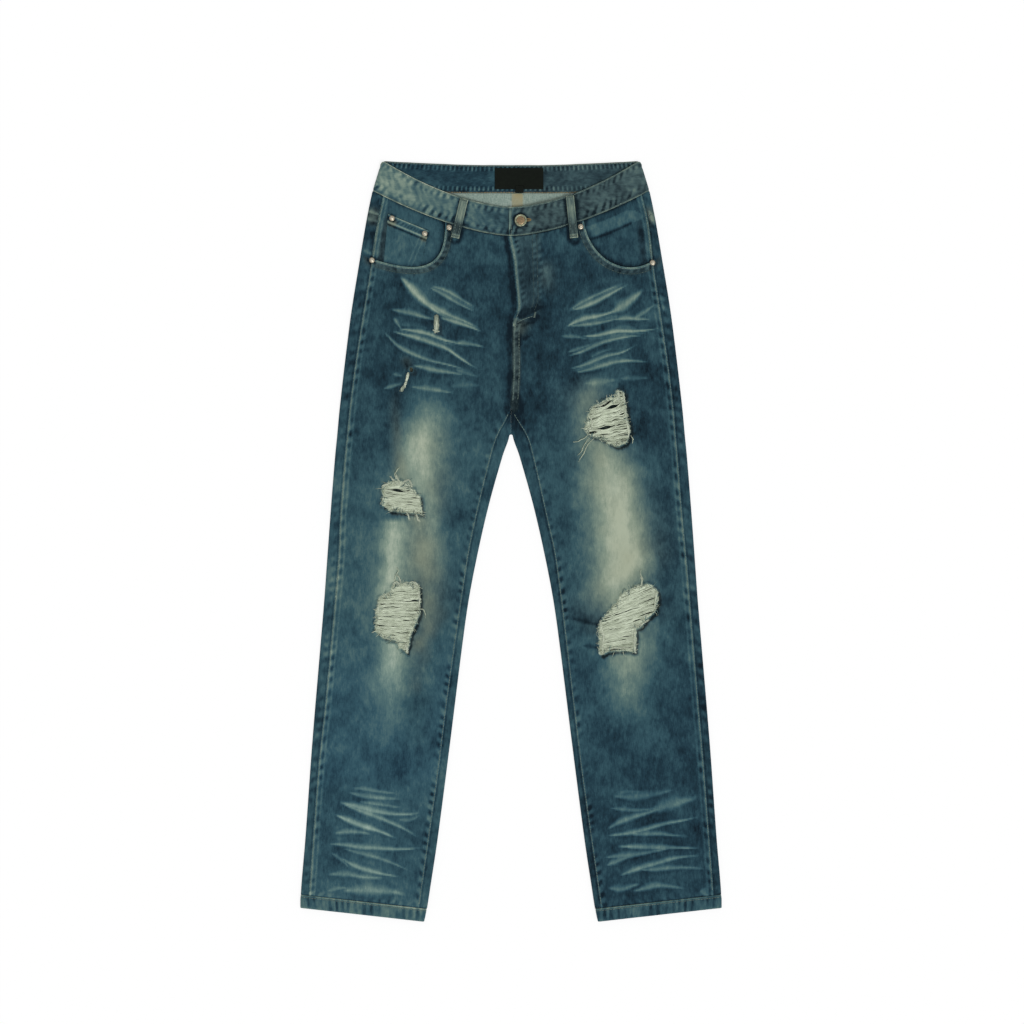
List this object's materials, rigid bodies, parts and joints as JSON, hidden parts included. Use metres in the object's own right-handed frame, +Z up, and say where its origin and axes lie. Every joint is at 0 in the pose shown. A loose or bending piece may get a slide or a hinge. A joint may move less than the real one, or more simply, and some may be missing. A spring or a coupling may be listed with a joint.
{
  "type": "ripped jeans laid flat",
  "caption": "Ripped straight-leg denim jeans laid flat, front up, with a button fly, scooped pockets, a coin pocket and torn, faded thighs and knees.",
  "frame": {"origin": "centre of the garment's box, on the surface that it lies on", "axes": "+Y towards the waistband, -Y towards the hems, +X to the wearer's left, +Z up out of the front"},
  "size_m": [0.5992, 1.082, 0.0128],
  "materials": {
    "denim": "stone-washed, dirty-tinted cotton twill denim with bleached whiskers and fades",
    "loop_denim": "worn, pale grey-green denim on the belt loops",
    "black_weave": "plain black damask weave, bare",
    "aged_copper": "aged copper-silver, brushed and plain",
    "rivet_metal": "worn silver-copper rivets, plain"
  },
  "bodies": {
    "root": {"back_left": "denim", "back_pocket_left": "denim", "back_pocket_right": "denim", "back_right": "denim", "belt_loop_back_centre": "loop_denim", "belt_loop_back_left": "loop_denim", "belt_loop_back_right": "loop_denim", "belt_loop_front_left": "loop_denim", "belt_loop_front_right": "loop_denim", "button": "aged_copper", "coin_pocket": "denim", "front_left": "denim", "front_right": "denim", "hem_left": "denim", "hem_right": "denim", "label": "black_weave", "pocket_facing_left": "denim", "pocket_facing_right": "denim", "rivet_coin_inner": "rivet_metal", "rivet_coin_outer": "rivet_metal", "rivet_mouth_left": "rivet_metal", "rivet_mouth_right": "rivet_metal", "rivet_side_left": "rivet_metal", "rivet_side_right": "rivet_metal", "size_tab": "black_weave", "waistband": "denim", "yoke_left": "denim", "yoke_right": "denim"}
  },
  "joints": []
}
